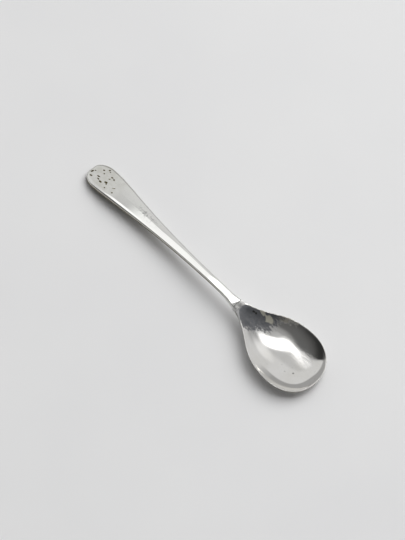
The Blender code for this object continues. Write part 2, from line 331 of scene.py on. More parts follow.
def make_object(name, points, faces, layers):
    """A smooth mesh object from millimetre points (station, side, height), with layers of point values."""
    place = (np.asarray(points) - np.array([SPOON_LENGTH / 2, 0.0, 0.0])) * MM
    data = bpy.data.meshes.new(name)
    data.from_pydata(place.tolist(), [], faces)
    for layer, values in layers.items():
        attribute = data.attributes.new(layer, "FLOAT", "POINT")
        attribute.data.foreach_set("value", np.asarray(values, dtype=np.float32))
    data.validate()
    data.shade_smooth()
    piece = bpy.data.objects.new(name, data)
    bpy.context.scene.collection.objects.link(piece)
    return piece


def ring_faces(rings, count):
    """Quads between closed rings of vertices that are numbered ring by ring."""
    faces = []
    for ring in range(rings - 1):
        base = ring * count
        for i in range(count):
            j = (i + 1) % count
            faces.append((base + i, base + j, base + count + j, base + count + i))
    return faces


# Bowl

HEEL_STEPS = 8
FLANK_STEPS = 96
NOSE_STEPS = 64
BOWL_RINGS = 36
RIM_ROUND = 0.1
CREASE_ROUND = 0.05

# Distances inwards from the outline at which the rings near the rim lie, and shares of the edge's height
RIM_OFFSETS = (
    0.0, 0.02, 0.05, 0.09, 0.14, 0.2, 0.27, 0.34, 0.41,
    0.48, 0.56, 0.65, 0.76, 0.9, 1.1, 1.35, 1.65, 2.0,
)
EDGE_SHARES = (0.08, 0.5, 0.92)
EDGE_RINGS_OUTSIDE = 2

# Tarnished and scuffed places: strength where it differs, place along and across, and size
TARNISH_SPOTS = (((58.3, 3.2), (0.8, 0.45)), ((60.6, 3.4), (1.15, 0.9)))
DEEP_FILM_SPOT = ((55.3, 1.0), (1.6, 1.1))
SCUFFS = (
    (1.0, (61.1, 0.2), (1.6, 2.3)),
    (2.0, (73.4, 3.0), (3.2, 2.3)),
    (0.9, (66.8, 3.8), (3.0, 1.8)),
)

# Olive tarnish by its place along the far rim and inwards from it, and its size
RIM_TARNISH_SPOT = ((62.9, 0.6), (3.0, 0.9))
# Width of the band along the rim's outside that is darkened by tarnish and by painted shade, in place of a
# dark reflection under the rim
EDGE_TARNISH_AND_SHADE_WIDTH = 1.2

# Grey film at the heel: its gap to the heel's border and to both flanks, and its slanted end
FILM_HEEL_GAP = 0.05
FILM_FAR_GAP = 0.05
FILM_NEAR_GAPS = (0.9, 0.1)
FILM_NEAR_BLEND = (54.0, 56.0)
FILM_BORDER = 0.3
FILM_CORNER_SHARPNESS = 4.0
FILM_END = 62.5
FILM_END_SLANT = 1.1
FILM_SLANTED_SIDES = (-0.5, 1.5)
FILM_CUT_START = 1.0
FILM_CUT_MOST = 2.2
FILM_FADE = 3.6

# Dull edge of the heel and the worn side of the neck
DULL_HEEL_FADE = (57.0, 55.5)
DULL_HEEL_SIDE = 0.9
WEAR_BLUR = 0.12


def bowl_rings(outline):
    """Plan points of the bowl's rings, from the outline to just off the deepest place."""
    centre = np.array([DEEPEST, 0.0])
    arm = outline - centre
    reach = np.linalg.norm(arm, axis=1)
    rings = [centre + arm * (1 - offset / reach)[:, None] for offset in RIM_OFFSETS]
    last = rings[-1]
    return rings + [between(last, centre, step / BOWL_RINGS) for step in range(1, BOWL_RINGS)]


def inner_height(plan):
    """Height of the bowl's inside, with its rim rounded on both borders."""
    station, side = plan.T
    distance = rim_distance(plan)
    rim = rim_height(station)
    depth = (rim - BOWL_WALL) * hollow(station, side, FINE_WELL)
    depth = np.where(distance < RIM_LAND, distance - RIM_LAND, depth)
    depth = CREASE_ROUND * np.logaddexp(0.0, depth / CREASE_ROUND)
    short = np.clip(RIM_ROUND - distance, 0.0, RIM_ROUND)
    return rim - depth - (RIM_ROUND - np.sqrt(RIM_ROUND**2 - short**2))


def heel_film(station, side, room):
    """Share of grey film, by place and by the room left to the rim."""
    near_gap = between(*FILM_NEAR_GAPS, passed(station, *FILM_NEAR_BLEND))
    flank_gap = np.where(side < 0, near_gap, FILM_FAR_GAP)
    sharpness = FILM_CORNER_SHARPNESS
    from_heel, from_flank = station - HEEL - FILM_HEEL_GAP, room - flank_gap
    inside = -np.logaddexp(-sharpness * from_heel, -sharpness * from_flank) / sharpness
    cut = np.clip(-side - FILM_CUT_START, 0.0, FILM_CUT_MOST)
    end = FILM_END + FILM_END_SLANT * np.clip(side, *FILM_SLANTED_SIDES) - cut
    return passed(inside, 0.0, FILM_BORDER) * passed(station, end, end - FILM_FADE)


def bowl_layers(points, outside_count):
    """Tarnish, grey film, dull heel edge and scuffs inside, and tarnish with painted shade along the rim's
    outside, by place on the bowl.
    """
    station, side, _ = points.T
    inner = np.arange(len(points)) >= outside_count
    room = half_width(station) - np.abs(side)
    tarnish = sum(spot(station, side, *patch) for patch in TARNISH_SPOTS)
    layers = {
        "tarnish": np.clip(tarnish, 0.0, 1.0),
        "film": heel_film(station, side, room),
        "deep_film": spot(station, side, *DEEP_FILM_SPOT),
        "dull_heel": passed(station, *DULL_HEEL_FADE) * soft_step(-side, -DULL_HEEL_SIDE, WEAR_BLUR),
        "scratched": sum(depth * spot(station, side, *patch) for depth, *patch in SCUFFS),
        "rim_tarnish": spot(station, room, *RIM_TARNISH_SPOT) * (side > 0),
    }
    layers = {name: values * inner for name, values in layers.items()}
    # Rim's outside: tarnish and painted shade
    layers["edge_tarnish_and_shade"] = passed(rim_distance(points[:, :2]), EDGE_TARNISH_AND_SHADE_WIDTH, 0.0) * ~inner
    return layers


def make_bowl():
    """Thin raised shell with a rounded rim, worn flat underneath."""
    outline = bowl_outline(HEEL_STEPS, FLANK_STEPS, NOSE_STEPS)
    count = len(outline)
    rings = bowl_rings(outline)
    outside = []
    for plan in rings[::-1]:
        height = np.maximum(0.0, outer_height(plan[:, 0], plan[:, 1]))
        outside.append(np.column_stack([plan, height]))
    station = outline[:, 0]
    low, high = outer_edge(station), rim_height(station) - RIM_ROUND
    edge = [np.column_stack([outline, between(low, high, share)]) for share in EDGE_SHARES]
    inside = [np.column_stack([plan, inner_height(plan)]) for plan in rings]
    stack = outside + edge + inside
    middles = np.array([[DEEPEST, 0.0, 0.0], [DEEPEST, 0.0, BOWL_WALL]])
    points = np.vstack(stack + [middles])
    faces = ring_faces(len(stack), count)
    below, above = len(points) - 2, len(points) - 1
    final = (len(stack) - 1) * count
    for i in range(count):
        j = (i + 1) % count
        faces.append((j, i, below))
        faces.append((final + i, final + j, above))
    outside_count = (len(outside) + EDGE_RINGS_OUTSIDE) * count
    return make_object("bowl_shell", points, faces, bowl_layers(points, outside_count))


# Handle

TIP_EDGE = 0.9
SECTION_POINTS = 150
SECTION_STEPS = 720
FIRST_STATION = 0.004
TIP_FIRST_ANGLE = 0.12
TIP_SECTIONS = 70
END_SECTIONS = 100
STEM_SECTIONS = 100
NECK_SECTIONS = 24
TONGUE_SECTIONS = 32

# Long facet along the near side: where its ridge runs, how it tilts, and where it opens over the whole neck
FACET_SLOPE = 0.19
FACET_ROUND = 0.1
FACET_TIP_WIDTH = 0.7
FACET_STEM_RIDGE = 0.35
FACET_SPREADS = (8.0, 36.0)
FACET_OPENS = (43.0, 48.5)
CORNER_END_SQUARENESS = 30.0
CORNER_STEM_SQUARENESS = 16.0
NECK_SQUARENESS = 9.0

# Corrosion pits of the handle end: place along and across, length and width, and turn in degrees
PITS = (
    (0.8, -0.55, 0.42, 0.2, 70), (1.3, 0.1, 0.2, 0.12, 20), (1.6, -1.7, 0.36, 0.17, 10),
    (2.8, 1.6, 0.26, 0.17, 20), (3.65, 0.9, 0.17, 0.15, 0), (3.9, 2.55, 0.24, 0.18, 60),
    (4.4, 2.25, 0.16, 0.13, 0), (3.2, -0.6, 0.42, 0.15, 10), (3.7, -1.2, 0.34, 0.14, -10),
    (4.7, -1.45, 0.38, 0.22, 0), (5.9, -0.6, 0.42, 0.21, 15), (6.3, -0.95, 0.2, 0.15, 0),
    (5.8, 0.7, 0.22, 0.13, 40), (6.0, 1.45, 0.3, 0.15, 10), (6.8, 1.3, 0.26, 0.16, -30),
    (6.8, -1.95, 0.16, 0.15, 0), (8.6, -0.45, 0.36, 0.1, 40), (9.2, -1.65, 0.2, 0.17, 0),
)
PIT_DEPTH = 0.05
PIT_SPREAD = 1.3
PIT_STEEPNESS = 1.2
PIT_POWER = 1.5
PIT_RAGGED = 0.3
PIT_LONG_WAVES = 7.0
PIT_CROSS_WAVES = 6.0
PIT_SHIFT = 3.0

# Worn, tarnished and painted-shade places of the handle: fades by first and last value, soft borders by
# middle and blur
FACE_RISE = 0.3
# The handle's side is darkened partly by tarnish and partly by painted shade, in place of a dark reflection
# of the shadowed table
SIDE_TARNISH_AND_SHADE_FADE = (0.56, 0.7)
FAR_SIDE_TARNISH_AND_SHADE = 0.25
FAR_SIDE = (0.4, 0.15)
NECK_WEAR = (51.7, 52.3)
NECK_WEAR_SLANT = 0.45
NECK_WEAR_SIDE = 0.7
RUBBED_SPOT = ((20.0, 0.3), (3.2, 0.9))
HAZE_FADE = (13.0, 7.0)
HAZE_MARGIN = (0.9, 0.1)


def pitting(station, side):
    """Depth share of the corrosion pits over the handle's top."""
    total = np.zeros_like(station)
    for along, across, length, width, turn in PITS:
        u, v = station - along, side - across
        c, s = cos(radians(turn)), sin(radians(turn))
        p, q = (u * c + v * s) / (PIT_SPREAD * length), (v * c - u * s) / (PIT_SPREAD * width)
        waves = np.sin(PIT_LONG_WAVES * u / length + PIT_SHIFT * across)
        waves *= np.cos(PIT_CROSS_WAVES * v / width + along)
        slope = PIT_STEEPNESS * (1 + PIT_RAGGED * waves)
        total = np.maximum(total, np.exp(-((p**2 + q**2) ** PIT_POWER) * slope))
    return total


def facet_drop(station, side):
    """How far the long facet along one side of the handle lies below its flat top."""
    half = half_width(station)
    ridge = between(-half + FACET_TIP_WIDTH, FACET_STEM_RIDGE * half, passed(station, *FACET_SPREADS))
    ridge += half * passed(station, *FACET_OPENS)
    return FACET_SLOPE * FACET_ROUND * np.logaddexp(0.0, (ridge - side) / FACET_ROUND)


def section_power(station, across, up):
    """Power that shapes each part of a section: crisp corners on top, rounder ones below."""
    if station > SHOULDER:
        return TONGUE_SQUARENESS
    near = between(CORNER_END_SQUARENESS, CORNER_STEM_SQUARENESS, min(1.0, station / WAIST))
    far = between(squareness(station), NECK_SQUARENESS, passed(station, *FACET_OPENS))
    return np.where(up > 0, np.where(across < 0, near, far), squareness(station))


def handle_section(station):
    """Points of side and height round one section, evenly spaced from its left edge over the top."""
    half = tongue_half_width(station)
    top, bottom = stem_top(station), stem_bottom(station)
    if station > SHOULDER:
        top = max(top, float(outer_height(station, half)) + JOINT_GAP)
    middle, half_height = (top + bottom) / 2, (top - bottom) / 2
    if station < TIP_EDGE:
        half_height *= (1 - (1 - station / TIP_EDGE) ** END_SQUARENESS) ** (1 / EDGE_SQUARENESS)
    angle = np.linspace(0.0, 2 * pi, SECTION_STEPS + 1)
    across, up = np.cos(angle), np.sin(angle)
    side = half * np.sign(across) * np.abs(across) ** (2 / section_power(station, across, up))
    height = middle + half_height * np.sign(up) * np.abs(up) ** (2 / EDGE_SQUARENESS)
    if station <= SHOULDER:
        height -= facet_drop(station, side) * np.clip(up, 0.0, 1.0) ** (2 / EDGE_SQUARENESS)
    return even_steps(np.column_stack([side, height]), SECTION_POINTS)[:-1]


def handle_stations():
    """Stations of the handle's sections up to the shoulder, and those of its tongue."""
    tip = HANDLE_END_REACH * (1 - np.cos(np.linspace(TIP_FIRST_ANGLE, pi / 2, TIP_SECTIONS)))
    end = np.linspace(HANDLE_END_REACH, TURN_DOWN_LENGTH, END_SECTIONS)[1:]
    stem = np.linspace(TURN_DOWN_LENGTH, WAIST, STEM_SECTIONS)[1:]
    neck = np.linspace(WAIST, SHOULDER, NECK_SECTIONS)[1:]
    tongue = SHOULDER + TONGUE_LENGTH * np.sin(np.linspace(0.0, pi / 2, TONGUE_SECTIONS))
    return np.concatenate([[FIRST_STATION], tip, end, stem, neck]), tongue


def handle_rings():
    """Rings of points from the handle's tip to the end of its tongue."""
    stem, tongue = handle_stations()
    rings = []
    for station in stem:
        side, height = handle_section(station).T
        rings.append(np.column_stack([np.full(SECTION_POINTS, station), side, np.maximum(height, 0.0)]))
    for station in tongue:
        side, height = handle_section(station + SMALLEST).T
        lap = outer_height(np.full(SECTION_POINTS, station), side) - JOINT_GAP
        rings.append(np.column_stack([np.full(SECTION_POINTS, station), side, np.clip(height, 0.0, lap)]))
    return rings


def handle_layers(points):
    """Pits, tarnish and painted shade on the side, wear at the neck, rubbed lines and haze, by place on the
    handle.
    """
    station, side, height = points.T
    rise = height - np.array([stem_top(s) - HANDLE_THICKNESS / 2 for s in station])
    face = passed(rise, 0.0, FACE_RISE) * (station < SHOULDER)
    pits = pitting(station, side) * face
    dented = rise - PIT_DEPTH * pits
    edge = 1 - passed(dented + facet_drop(station, side), *SIDE_TARNISH_AND_SHADE_FADE)
    edge *= 1 - passed(station, WAIST, SHOULDER)
    edge *= between(1.0, FAR_SIDE_TARNISH_AND_SHADE, soft_step(side, *FAR_SIDE))
    neck = passed(station - NECK_WEAR_SLANT * side, *NECK_WEAR)
    return {
        "pits": pits,
        "side_tarnish_and_shade": edge,
        "neck_wear": neck * soft_step(-side, -NECK_WEAR_SIDE, WEAR_BLUR) * face,
        "rubbed": spot(station, side, *RUBBED_SPOT) * face,
        "end_haze": passed(station, *HAZE_FADE) * soft_step(side + half_width(station), *HAZE_MARGIN) * face,
    }


def make_handle():
    """Forged handle: rounded flat end with corrosion pits, slim stem, and a tongue under the bowl's heel."""
    rings = handle_rings()
    points = np.vstack(rings)
    faces = ring_faces(len(rings), SECTION_POINTS)
    faces.append(tuple(range(SECTION_POINTS))[::-1])
    faces.append(tuple(range(len(points) - SECTION_POINTS, len(points))))
    layers = handle_layers(points)
    points[:, 2] -= PIT_DEPTH * layers["pits"]
    return make_object("handle_forging", points, faces, layers)


# Solder

SOLDER_CLEARANCE = 0.02
SOLDER_SPREAD = 0.985
SOLDER_SLICES = 40
GROOVE_STEPS = 24
LAP_STEPS = 60
GROOVE_LEVEL_SHARE = 0.5
SOLDER_WORN_SIDE = 0.75


def tongue_sides(across, stations):
    """Sides of the tongue at a share of its half width."""
    return across * np.array([tongue_half_width(s) for s in stations])


def groove_height(across, groove):
    """Height of the solder over the groove: level with the handle, then down to the bowl's heel."""
    top, bottom = stem_top(SHOULDER), stem_bottom(SHOULDER)
    crown = (1 - abs(across) ** NECK_SQUARENESS) ** (1 / EDGE_SQUARENESS)
    crown = bottom + (top - bottom) / 2 * (1 + crown)
    crown -= facet_drop(SHOULDER, across * half_width(SHOULDER))
    to_heel = (groove - groove[0]) / (groove[-1] - groove[0])
    return between(crown, min(crown, float(rim_height(HEEL))), ease(passed(to_heel, GROOVE_LEVEL_SHARE, 1.0)))


def solder_slice(across):
    """Points round the solder at one share of the half width, over its top and back below."""
    groove = np.linspace(SHOULDER + SOLDER_CLEARANCE, HEEL - SOLDER_CLEARANCE, GROOVE_STEPS)
    lap = np.linspace(HEEL - SOLDER_CLEARANCE, TONGUE_END - SOLDER_SHORT, LAP_STEPS)[1:]
    stations = np.concatenate([groove, lap])
    lap_side = tongue_sides(across, lap)
    upper_side = np.concatenate([across * half_width(groove), lap_side])
    lap_top = outer_height(lap, lap_side) - SOLDER_CLEARANCE
    upper = np.column_stack([stations, upper_side, np.concatenate([groove_height(across, groove), lap_top])])
    lower_side = tongue_sides(across, stations)
    lower_height = outer_height(stations, lower_side) - JOINT_GAP + SOLDER_CLEARANCE
    lower = np.column_stack([stations, lower_side, lower_height])
    return np.vstack([upper, lower[::-1]])


def make_solder():
    """Hard solder that fills the groove at the neck and the lap over the tongue."""
    rings = [solder_slice(share) for share in np.linspace(-SOLDER_SPREAD, SOLDER_SPREAD, SOLDER_SLICES)]
    count = len(rings[0])
    points = np.vstack(rings)
    faces = ring_faces(len(rings), count)
    last = (len(rings) - 1) * count
    for i in range(count // 2 - 1):
        faces.append((i, i + 1, count - 2 - i, count - 1 - i))
        faces.append((last + count - 1 - i, last + count - 2 - i, last + i + 1, last + i))
    worn = soft_step(-points[:, 1], -SOLDER_WORN_SIDE, WEAR_BLUR)
    return make_object("solder_joint", points, faces, {"worn": worn})


# Materials


class Graph:
    """Short calls for the nodes of a material, a lamp or the world."""

    def __init__(self, owner):
        owner.use_nodes = True
        self.tree = owner.node_tree

    def add(self, kind):
        return self.tree.nodes.new("ShaderNode" + kind)

    def fill(self, socket, value):
        """Links a socket to another node's output, or sets it to a constant."""
        if isinstance(value, bpy.types.NodeSocket):
            self.tree.links.new(value, socket)
        else:
            socket.default_value = value

    def math(self, operation, first, second=0.0):
        node = self.add("Math")
        node.operation = operation
        self.fill(node.inputs[0], first)
        self.fill(node.inputs[1], second)
        return node.outputs[0]

    def plus(self, first, second):
        return self.math("ADD", first, second)

    def times(self, first, second):
        return self.math("MULTIPLY", first, second)

    def most(self, first, *others):
        """The largest of several values."""
        for other in others:
            first = self.math("MAXIMUM", first, other)
        return first

    def ramp(self, value, low, high, start=0.0, end=1.0, kind="LINEAR"):
        """A value between low and high turned into one between start and end, and held outside them."""
        node = self.add("MapRange")
        node.interpolation_type = kind
        self.fill(node.inputs["Value"], value)
        for socket, number in zip(("From Min", "From Max", "To Min", "To Max"), (low, high, start, end)):
            self.fill(node.inputs[socket], number)
        return node.outputs["Result"]

    def vector(self, operation, first, second):
        node = self.add("VectorMath")
        node.operation = operation
        self.fill(node.inputs[0], first)
        self.fill(node.inputs[1], second)
        return node.outputs


MARK_CORE = 0.5
MARK_BORDER = 1.2
NOISE_MIDDLE = 0.5


class Finish(Graph):
    """One material, with short calls for its patterns and its shader."""

    def __init__(self, name):
        self.material = bpy.data.materials.new(name)
        super().__init__(self.material)
        self.shader = self.tree.nodes["Principled BSDF"]
        self.place = self.add("TexCoord").outputs["Object"]

    def set(self, socket, value):
        self.fill(self.shader.inputs[socket], value)

    def layer(self, name):
        """The mesh's own value of that name."""
        node = self.add("Attribute")
        node.attribute_name = name
        return node.outputs["Fac"]

    def noise(self, per_mm, detail, turn=0.0, stretch=1.0):
        """Noise with features of about 1 / per_mm millimetres, drawn out along the turned x axis."""
        mapping = self.add("Mapping")
        self.fill(mapping.inputs["Vector"], self.place)
        scale = per_mm / MM
        self.fill(mapping.inputs["Rotation"], (0.0, 0.0, radians(turn)))
        self.fill(mapping.inputs["Scale"], (scale / stretch, scale, scale))
        node = self.add("TexNoise")
        self.fill(node.inputs["Scale"], 1.0)
        self.fill(node.inputs["Detail"], detail)
        self.fill(node.inputs["Vector"], mapping.outputs["Vector"])
        return node.outputs["Fac"]

    def swing(self, noise, amount):
        """Noise turned into a swing of about half the amount to either side of 0."""
        return self.times(self.math("SUBTRACT", noise, NOISE_MIDDLE), amount)

    def mix(self, share, first, second):
        node = self.add("Mix")
        node.data_type = "RGBA"
        self.fill(node.inputs["Factor"], share)
        self.fill(node.inputs["A"], first)
        self.fill(node.inputs["B"], second)
        return node.outputs["Result"]

    def dot(self, station, side, size):
        """Small round mark: 1 at its place along and across the spoon, 0 outside its size in millimetres."""
        flat = self.vector("MULTIPLY", self.place, (1.0, 1.0, 0.0))["Vector"]
        middle = ((station - SPOON_LENGTH / 2) * MM, side * MM, 0.0)
        distance = self.vector("DISTANCE", flat, middle)["Value"]
        return self.ramp(distance, MARK_CORE * size * MM, MARK_BORDER * size * MM, 1.0, 0.0)

    def bump(self, height, depth):
        """Fine relief of a depth in millimetres."""
        node = self.add("Bump")
        self.fill(node.inputs["Distance"], depth * MM)
        self.fill(node.inputs["Height"], height)
        self.set("Normal", node.outputs["Normal"])


def rgb(red, green, blue):
    """A colour with full cover."""
    return (red, green, blue, 1.0)


SILVER = rgb(0.93, 0.92, 0.9)
BRIGHT_SILVER = rgb(0.95, 0.955, 0.92)
HAZY_SILVER = rgb(0.79, 0.785, 0.73)
DULL_SILVER = rgb(0.88, 0.865, 0.83)
TARNISH = rgb(0.43, 0.415, 0.35)
OLIVE_TARNISH = rgb(0.22, 0.2, 0.155)
# Dark brown of the handle's side and of the rim's outside: tarnish, with painted shade in place of a dark
# reflection
SIDE_TARNISH_AND_SHADE = rgb(0.17, 0.14, 0.085)
NECK_GREY = rgb(0.45, 0.45, 0.44)
FILM_DARK = rgb(0.085, 0.088, 0.095)
FILM_PALE = rgb(0.135, 0.138, 0.145)
FILM_DEEP = rgb(0.035, 0.037, 0.042)
HEEL_GREY = rgb(0.3, 0.3, 0.3)
DARK_TARNISH = rgb(0.055, 0.042, 0.018)
PIT_OLIVE = rgb(0.2, 0.17, 0.085)
MARK_BLACK = rgb(0.012, 0.011, 0.009)
SOLDER_BRIGHT = rgb(0.92, 0.91, 0.89)
SOLDER_GREY = rgb(0.5, 0.5, 0.49)
FLOOR_WHITE = rgb(0.8, 0.8, 0.8)
FLOOR_GREY = rgb(0.77, 0.77, 0.775)

# Values between which a noise mostly lies: its usual spread, and narrower ones for clearer patches
SPREAD = (0.3, 0.7)
PATCHES = (0.35, 0.7)
CLEAR_PATCHES = (0.35, 0.65)

# Small dark marks in the bowl: place along and across, and size
BOWL_MARKS = (
    (56.5, 1.73, 0.26), (56.75, 1.8, 0.26), (57.3, 1.93, 0.3),
    (74.1, -1.5, 0.19), (72.4, -2.7, 0.1), (70.6, -1.9, 0.08),
)

# Ranges of four values: two of a noise, and the two that they turn into
EDGE_MOTTLE = (0.3, 0.6, 0.5, 0.9)
BOWL_POLISH = (0.4, 0.7, 0.045, 0.075)
HANDLE_POLISH = (0.4, 0.75, 0.06, 0.12)

# How ragged each layer of the bowl is, the limits between which it sets in, and what it does to the polish
FILM_RAGGED = 2.2
FILM_RAGGED_FROM = 0.35
FILM_LIMITS = (0.3, 0.6)
DEEP_FILM_SHARE = 0.7
TARNISH_RAGGED = 1.1
TARNISH_LIMITS = (0.42, 0.6)
DULL_RAGGED = (-0.15, 0.15)
DULL_LIMITS = (0.2, 0.7)
OLIVE_RAGGED = (-0.35, 0.35)
OLIVE_LIMITS = (0.3, 0.8)
OLIVE_MOST = 0.8
COATED_METALLIC = 0.25
COAT_ROUGHNESS = 0.26
SCUFF_ROUGHNESS = (0.06, 0.18)
CLEAN_RELIEF = 0.1
FULL_RELIEF_FILM = 0.5
BOWL_RELIEF = 0.004


def bowl_cover(nodes, mottle, streaks):
    """Shares of grey film, beige tarnish, dull heel and olive tarnish on the bowl."""
    film = nodes.layer("film")
    ragged = nodes.times(nodes.swing(streaks, FILM_RAGGED), nodes.ramp(film, 0.0, FILM_RAGGED_FROM))
    film = nodes.ramp(nodes.plus(film, ragged), *FILM_LIMITS)
    patches = nodes.swing(nodes.noise(2.0, detail=5.0), TARNISH_RAGGED)
    tarnish = nodes.ramp(nodes.plus(nodes.layer("tarnish"), patches), *TARNISH_LIMITS)
    dull = nodes.plus(nodes.layer("dull_heel"), nodes.ramp(mottle, *SPREAD, *DULL_RAGGED))
    dull = nodes.ramp(dull, *DULL_LIMITS)
    olive = nodes.plus(nodes.layer("rim_tarnish"), nodes.ramp(mottle, *SPREAD, *OLIVE_RAGGED))
    olive = nodes.ramp(olive, *OLIVE_LIMITS, 0.0, OLIVE_MOST)
    return film, tarnish, dull, olive


def bowl_colour(nodes, cloud, mottle, cover):
    """Clean silver under its film, tarnish and marks, with tarnish and painted shade along the rim's outside.
    """
    film, tarnish, dull, olive = cover
    clean = nodes.mix(nodes.ramp(cloud, *PATCHES), SILVER, DULL_SILVER)
    clean = nodes.mix(dull, clean, HEEL_GREY)
    clean = nodes.mix(olive, clean, OLIVE_TARNISH)
    grey = nodes.mix(nodes.ramp(mottle, *SPREAD), FILM_DARK, FILM_PALE)
    grey = nodes.mix(nodes.times(nodes.layer("deep_film"), DEEP_FILM_SHARE), grey, FILM_DEEP)
    colour = nodes.mix(tarnish, nodes.mix(film, clean, grey), TARNISH)
    # Rim's outside darkened by tarnish and by painted shade
    rim = nodes.times(nodes.layer("edge_tarnish_and_shade"), nodes.ramp(mottle, *EDGE_MOTTLE))
    colour = nodes.mix(rim, colour, SIDE_TARNISH_AND_SHADE)
    marks = nodes.most(*[nodes.dot(*mark) for mark in BOWL_MARKS])
    return nodes.mix(marks, colour, MARK_BLACK)


def bowl_silver():
    """Mirror polish, with a scratched grey film at the heel, beige tarnish along one side, and painted shade
    along the rim's outside.
    """
    nodes = Finish("bowl_silver")
    cloud = nodes.noise(0.25, detail=3.0)
    mottle = nodes.noise(1.1, detail=4.0)
    streaks = nodes.noise(3.8, detail=3.0, turn=14.0, stretch=6.0)
    scratches = nodes.noise(7.0, detail=2.0, turn=62.0, stretch=14.0)
    cover = bowl_cover(nodes, mottle, streaks)
    nodes.set("Base Color", bowl_colour(nodes, cloud, mottle, cover))
    coated = nodes.most(*cover)
    nodes.set("Metallic", nodes.ramp(coated, 0.0, 1.0, 1.0, COATED_METALLIC))
    roughness = nodes.plus(nodes.ramp(cloud, *BOWL_POLISH), nodes.times(coated, COAT_ROUGHNESS))
    scuffs = nodes.times(nodes.layer("scratched"), nodes.ramp(streaks, *CLEAR_PATCHES, *SCUFF_ROUGHNESS))
    nodes.set("Roughness", nodes.plus(roughness, scuffs))
    relief = nodes.ramp(nodes.layer("film"), 0.0, FULL_RELIEF_FILM, CLEAN_RELIEF, 1.0)
    nodes.bump(nodes.times(scratches, relief), BOWL_RELIEF)
    return nodes.material


# The same for the handle
PIT_BORDER_RAGGED = 0.8
PIT_RAGGED_FROM = 0.2
PIT_LIMITS = (0.28, 0.55)
SIDE_MOTTLE = (0.8, 1.0)
HAZE_MOTTLE = (0.4, 1.0)
NECK_LIMITS = (0.5, 0.8)
RUBBED_LINE = (0.009, 0.028)
STAIN_ROUGHNESS = 0.3
HANDLE_RELIEF = 0.002


def handle_silver():
    """Worn polish, hazy at the end, with corrosion pits, a side darkened by tarnish and painted shade, and a
    few rubbed lines.
    """
    nodes = Finish("handle_silver")
    grain = nodes.noise(2.2, detail=4.0)
    brushing = nodes.noise(6.0, detail=2.0, stretch=20.0)
    ragged = nodes.swing(nodes.noise(5.0, detail=3.0), PIT_BORDER_RAGGED)
    pits = nodes.layer("pits")
    pits = nodes.plus(pits, nodes.times(ragged, nodes.ramp(pits, 0.0, PIT_RAGGED_FROM)))
    pits = nodes.ramp(pits, *PIT_LIMITS)
    side = nodes.times(nodes.layer("side_tarnish_and_shade"), nodes.ramp(grain, *SPREAD, *SIDE_MOTTLE))
    neck = nodes.ramp(nodes.plus(nodes.layer("neck_wear"), ragged), *NECK_LIMITS)
    squiggle = nodes.math("ABSOLUTE", nodes.math("SUBTRACT", nodes.noise(0.9, detail=2.0), NOISE_MIDDLE))
    lines = nodes.times(nodes.ramp(squiggle, *RUBBED_LINE, 1.0, 0.0), nodes.layer("rubbed"))
    haze = nodes.ramp(nodes.noise(0.6, detail=4.0), *CLEAR_PATCHES, *HAZE_MOTTLE)
    colour = nodes.mix(nodes.ramp(nodes.noise(0.2, detail=3.0), *PATCHES), BRIGHT_SILVER, SILVER)
    colour = nodes.mix(nodes.times(nodes.layer("end_haze"), haze), colour, HAZY_SILVER)
    colour = nodes.mix(nodes.most(neck, lines), colour, NECK_GREY)
    # Side darkened by tarnish and by painted shade
    colour = nodes.mix(side, colour, SIDE_TARNISH_AND_SHADE)
    corrosion = nodes.mix(nodes.ramp(grain, *CLEAR_PATCHES), DARK_TARNISH, PIT_OLIVE)
    nodes.set("Base Color", nodes.mix(pits, colour, corrosion))
    nodes.set("Metallic", 1.0)
    stained = nodes.times(nodes.most(pits, side, neck), STAIN_ROUGHNESS)
    nodes.set("Roughness", nodes.plus(nodes.ramp(brushing, *HANDLE_POLISH), stained))
    nodes.bump(brushing, HANDLE_RELIEF)
    return nodes.material


SOLDER_GRAIN = (0.35, 0.6)
SOLDER_METALLIC = (0.35, 1.0)
SOLDER_ROUGHNESS = (0.45, 0.7)
SOLDER_RELIEF = 0.01


def dull_solder():
    """Dull filed solder, brighter where it isn't worn."""
    nodes = Finish("dull_solder")
    grain = nodes.noise(3.0, detail=4.0)
    file_marks = nodes.noise(7.0, detail=2.0, turn=80.0, stretch=8.0)
    worn = nodes.layer("worn")
    patches = nodes.times(worn, nodes.ramp(grain, *SOLDER_GRAIN))
    nodes.set("Base Color", nodes.mix(patches, SOLDER_BRIGHT, SOLDER_GREY))
    nodes.set("Metallic", nodes.ramp(worn, 0.0, 1.0, *SOLDER_METALLIC))
    nodes.set("Roughness", nodes.ramp(grain, *SPREAD, *SOLDER_ROUGHNESS))
    nodes.bump(nodes.plus(grain, file_marks), SOLDER_RELIEF)
    return nodes.material


FLOOR_ROUGHNESS = 0.7


def floor_paint():
    """Matt pale paint with a faint cloudiness."""
    nodes = Finish("floor_paint")
    cloud = nodes.ramp(nodes.noise(0.02, detail=3.0), *SPREAD)
    nodes.set("Base Color", nodes.mix(cloud, FLOOR_WHITE, FLOOR_GREY))
    nodes.set("Roughness", FLOOR_ROUGHNESS)
    return nodes.material


# Stage, light and camera: places in metres as right, away and up from the bowl, angles in degrees

FLOOR_HALF = 1.5
PANEL_PLACE = (0.118, 0.114, 0.5)
PANEL_TARGET = (PANEL_PLACE[0], PANEL_PLACE[1], 0.0)
PANEL_SIZE = (0.497, 0.122)
PANEL_TURN = 31.0
PANEL_RADIANCE = 2.5
PANEL_FADE = ((0.15, 0.45), (0.32, 0.45))
FILL_PLACE = (0.5, 0.6, 1.0)
FILL_TARGET = (0.0, 0.0, 0.0)
FILL_SIZE = (1.2, 1.2)
FILL_TURN = 0.0
FILL_RADIANCE = 3.0

# Direction along which the height of the walls' dark foot is measured, a little off straight up
FOOT_UP = (90, 82)

